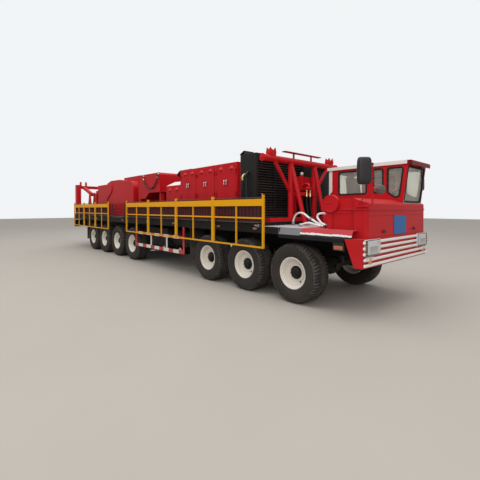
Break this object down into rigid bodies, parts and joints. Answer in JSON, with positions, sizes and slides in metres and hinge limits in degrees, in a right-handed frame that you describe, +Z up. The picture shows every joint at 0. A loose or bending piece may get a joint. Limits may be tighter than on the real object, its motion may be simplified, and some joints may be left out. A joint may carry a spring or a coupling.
{
  "type": "workover rig carrier",
  "caption": "Multi-axle oilfield rig carrier with offset cab, front mast support, radiator, engine hood, drawworks, rear mast base and folding side walkways.",
  "frame": {"origin": "on the floor under the middle of the overall length and width", "axes": "+X is the front, +Y the left side, +Z up"},
  "size_m": [15.316, 2.94, 3.1498],
  "materials": {
    "red_paint": "gloss paint",
    "black_paint": "satin paint",
    "yellow_paint": "gloss paint",
    "grey_paint": "satin paint",
    "grating": "worn paint",
    "glass": null,
    "interior": null,
    "lamp_glass": null,
    "black_plastic": null,
    "tyre": null,
    "rubber": null,
    "cast": null,
    "steel": null,
    "white_wrap": null
  },
  "bodies": {
    "carrier": {"frame": "black_paint", "deck": "black_paint", "axles": "cast", "suspension": "cast", "cab_shell": "red_paint", "cab_glass": "glass", "cab_interior": "interior", "front_body": "red_paint", "bumper": "red_paint", "lamps": "lamp_glass", "mirrors": "black_plastic", "mast_support": "red_paint", "hydraulic_tank": "red_paint", "radiator": "black_paint", "engine_hood": "red_paint", "engine_block": "grey_paint", "drive_case": "red_paint", "drawworks_frame": "red_paint", "drum_guards": "red_paint", "mast_base": "red_paint", "side_guards": "red_paint", "tanks": "black_paint", "mud_flaps": "rubber", "ladder": "grating", "hoses": "white_wrap", "exhaust": "black_paint"},
    "main_drum": {"main_drum": "steel"},
    "wheel_r1": {"wheel_r1": "tyre"},
    "wheel_r2": {"wheel_r2": "tyre"},
    "wheel_r3": {"wheel_r3": "tyre"},
    "wheel_r4": {"wheel_r4": "tyre"},
    "wheel_r5": {"wheel_r5": "tyre"},
    "wheel_r6": {"wheel_r6": "tyre"},
    "wheel_r7": {"wheel_r7": "tyre"},
    "wheel_l1": {"wheel_l1": "tyre"},
    "wheel_l2": {"wheel_l2": "tyre"},
    "wheel_l3": {"wheel_l3": "tyre"},
    "wheel_l4": {"wheel_l4": "tyre"},
    "wheel_l5": {"wheel_l5": "tyre"},
    "wheel_l6": {"wheel_l6": "tyre"},
    "wheel_l7": {"wheel_l7": "tyre"},
    "knuckle_r1": {"knuckle_r1": "cast"},
    "knuckle_r2": {"knuckle_r2": "cast"},
    "knuckle_r3": {"knuckle_r3": "cast"},
    "knuckle_l1": {"knuckle_l1": "cast"},
    "knuckle_l2": {"knuckle_l2": "cast"},
    "knuckle_l3": {"knuckle_l3": "cast"},
    "hood_door_1": {"hood_door_1": "red_paint"},
    "hood_door_2": {"hood_door_2": "red_paint"},
    "hood_door_3": {"hood_door_3": "red_paint"},
    "hood_door_4": {"hood_door_4": "red_paint"},
    "hood_door_5": {"hood_door_5": "red_paint"},
    "hood_door_6": {"hood_door_6": "red_paint"},
    "cab_door": {"cab_door": "red_paint"},
    "walkway_right": {"walkway_right": "grating"},
    "walkway_left": {"walkway_left": "grating"},
    "railing_right": {"railing_right": "yellow_paint"},
    "railing_left": {"railing_left": "yellow_paint"},
    "jack_legs": {"jack_legs": "steel"}
  },
  "joints": [
    {"name": "steer_r1", "type": "hinge", "parent": "carrier", "child": "knuckle_r1", "pos_m": [6.15, -0.94, 0.565], "axis": [0, 0, 1], "range_deg": [-30, 30]},
    {"name": "steer_l1", "type": "hinge", "parent": "carrier", "child": "knuckle_l1", "pos_m": [6.15, 0.94, 0.565], "axis": [0, 0, 1], "range_deg": [-30, 30]},
    {"name": "steer_r2", "type": "hinge", "parent": "carrier", "child": "knuckle_r2", "pos_m": [4.82, -0.94, 0.565], "axis": [0, 0, 1], "range_deg": [-23.5, 23.5]},
    {"name": "steer_l2", "type": "hinge", "parent": "carrier", "child": "knuckle_l2", "pos_m": [4.82, 0.94, 0.565], "axis": [0, 0, 1], "range_deg": [-23.5, 23.5]},
    {"name": "steer_r3", "type": "hinge", "parent": "carrier", "child": "knuckle_r3", "pos_m": [3.49, -0.94, 0.565], "axis": [0, 0, 1], "range_deg": [-18.1, 18.1]},
    {"name": "steer_l3", "type": "hinge", "parent": "carrier", "child": "knuckle_l3", "pos_m": [3.49, 0.94, 0.565], "axis": [0, 0, 1], "range_deg": [-18.1, 18.1]},
    {"name": "roll_r1", "type": "hinge", "parent": "knuckle_r1", "child": "wheel_r1", "pos_m": [6.15, -1.1, 0.565], "axis": [0, 1, 0], "continuous": true},
    {"name": "roll_r2", "type": "hinge", "parent": "knuckle_r2", "child": "wheel_r2", "pos_m": [4.82, -1.1, 0.565], "axis": [0, 1, 0], "continuous": true},
    {"name": "roll_r3", "type": "hinge", "parent": "knuckle_r3", "child": "wheel_r3", "pos_m": [3.49, -1.1, 0.565], "axis": [0, 1, 0], "continuous": true},
    {"name": "roll_r4", "type": "hinge", "parent": "carrier", "child": "wheel_r4", "pos_m": [-0.91, -1.1, 0.565], "axis": [0, 1, 0], "continuous": true},
    {"name": "roll_r5", "type": "hinge", "parent": "carrier", "child": "wheel_r5", "pos_m": [-2.24, -1.1, 0.565], "axis": [0, 1, 0], "continuous": true},
    {"name": "roll_r6", "type": "hinge", "parent": "carrier", "child": "wheel_r6", "pos_m": [-3.57, -1.1, 0.565], "axis": [0, 1, 0], "continuous": true},
    {"name": "roll_r7", "type": "hinge", "parent": "carrier", "child": "wheel_r7", "pos_m": [-4.9, -1.1, 0.565], "axis": [0, 1, 0], "continuous": true},
    {"name": "roll_l1", "type": "hinge", "parent": "knuckle_l1", "child": "wheel_l1", "pos_m": [6.15, 1.1, 0.565], "axis": [0, 1, 0], "continuous": true},
    {"name": "roll_l2", "type": "hinge", "parent": "knuckle_l2", "child": "wheel_l2", "pos_m": [4.82, 1.1, 0.565], "axis": [0, 1, 0], "continuous": true},
    {"name": "roll_l3", "type": "hinge", "parent": "knuckle_l3", "child": "wheel_l3", "pos_m": [3.49, 1.1, 0.565], "axis": [0, 1, 0], "continuous": true},
    {"name": "roll_l4", "type": "hinge", "parent": "carrier", "child": "wheel_l4", "pos_m": [-0.91, 1.1, 0.565], "axis": [0, 1, 0], "continuous": true},
    {"name": "roll_l5", "type": "hinge", "parent": "carrier", "child": "wheel_l5", "pos_m": [-2.24, 1.1, 0.565], "axis": [0, 1, 0], "continuous": true},
    {"name": "roll_l6", "type": "hinge", "parent": "carrier", "child": "wheel_l6", "pos_m": [-3.57, 1.1, 0.565], "axis": [0, 1, 0], "continuous": true},
    {"name": "roll_l7", "type": "hinge", "parent": "carrier", "child": "wheel_l7", "pos_m": [-4.9, 1.1, 0.565], "axis": [0, 1, 0], "continuous": true},
    {"name": "hood_door_1_hinge", "type": "hinge", "parent": "carrier", "child": "hood_door_1", "pos_m": [4.177, -0.97, 2.4], "axis": [0, 0, 1], "range_deg": [0, 90]},
    {"name": "hood_door_2_hinge", "type": "hinge", "parent": "carrier", "child": "hood_door_2", "pos_m": [3.443, -0.97, 2.4], "axis": [0, 0, -1], "range_deg": [0, 90]},
    {"name": "hood_door_3_hinge", "type": "hinge", "parent": "carrier", "child": "hood_door_3", "pos_m": [3.337, -0.97, 2.4], "axis": [0, 0, 1], "range_deg": [0, 90]},
    {"name": "hood_door_4_hinge", "type": "hinge", "parent": "carrier", "child": "hood_door_4", "pos_m": [2.603, -0.97, 2.4], "axis": [0, 0, -1], "range_deg": [0, 90]},
    {"name": "hood_door_5_hinge", "type": "hinge", "parent": "carrier", "child": "hood_door_5", "pos_m": [2.497, -0.97, 2.4], "axis": [0, 0, 1], "range_deg": [0, 90]},
    {"name": "hood_door_6_hinge", "type": "hinge", "parent": "carrier", "child": "hood_door_6", "pos_m": [1.763, -0.97, 2.4], "axis": [0, 0, -1], "range_deg": [0, 90]},
    {"name": "cab_door_hinge", "type": "hinge", "parent": "carrier", "child": "cab_door", "pos_m": [7.026, 1.37, 2], "axis": [0, 0, -1], "range_deg": [0, 75]},
    {"name": "walkway_right_fold", "type": "hinge", "parent": "carrier", "child": "walkway_right", "pos_m": [-0.7, -1.385, 1.485], "axis": [1, 0, 0], "range_deg": [0, 90]},
    {"name": "railing_right_fold", "type": "hinge", "parent": "walkway_right", "child": "railing_right", "pos_m": [-0.7, -1.45, 1.995], "axis": [1, 0, 0], "range_deg": [-270, 0]},
    {"name": "walkway_left_fold", "type": "hinge", "parent": "carrier", "child": "walkway_left", "pos_m": [-0.7, 1.385, 1.485], "axis": [-1, 0, 0], "range_deg": [0, 90]},
    {"name": "railing_left_fold", "type": "hinge", "parent": "walkway_left", "child": "railing_left", "pos_m": [-0.7, 1.45, 1.995], "axis": [-1, 0, 0], "range_deg": [-270, 0]},
    {"name": "jack_extend", "type": "slide", "parent": "carrier", "child": "jack_legs", "axis": [0, 0, -1], "range_m": [0, 0.355]},
    {"name": "main_drum_turn", "type": "hinge", "parent": "carrier", "child": "main_drum", "pos_m": [-2.5, 0, 2.25], "axis": [0, 1, 0], "continuous": true}
  ],
  "couplings": [
    {"joint": "steer_l1", "follows": "steer_r1", "ratio": 1},
    {"joint": "steer_r2", "follows": "steer_r1", "ratio": 0.78},
    {"joint": "steer_l2", "follows": "steer_r1", "ratio": 0.78},
    {"joint": "steer_r3", "follows": "steer_r1", "ratio": 0.6},
    {"joint": "steer_l3", "follows": "steer_r1", "ratio": 0.6},
    {"joint": "railing_right_fold", "follows": "walkway_right_fold", "ratio": -3},
    {"joint": "railing_left_fold", "follows": "walkway_left_fold", "ratio": -3}
  ]
}
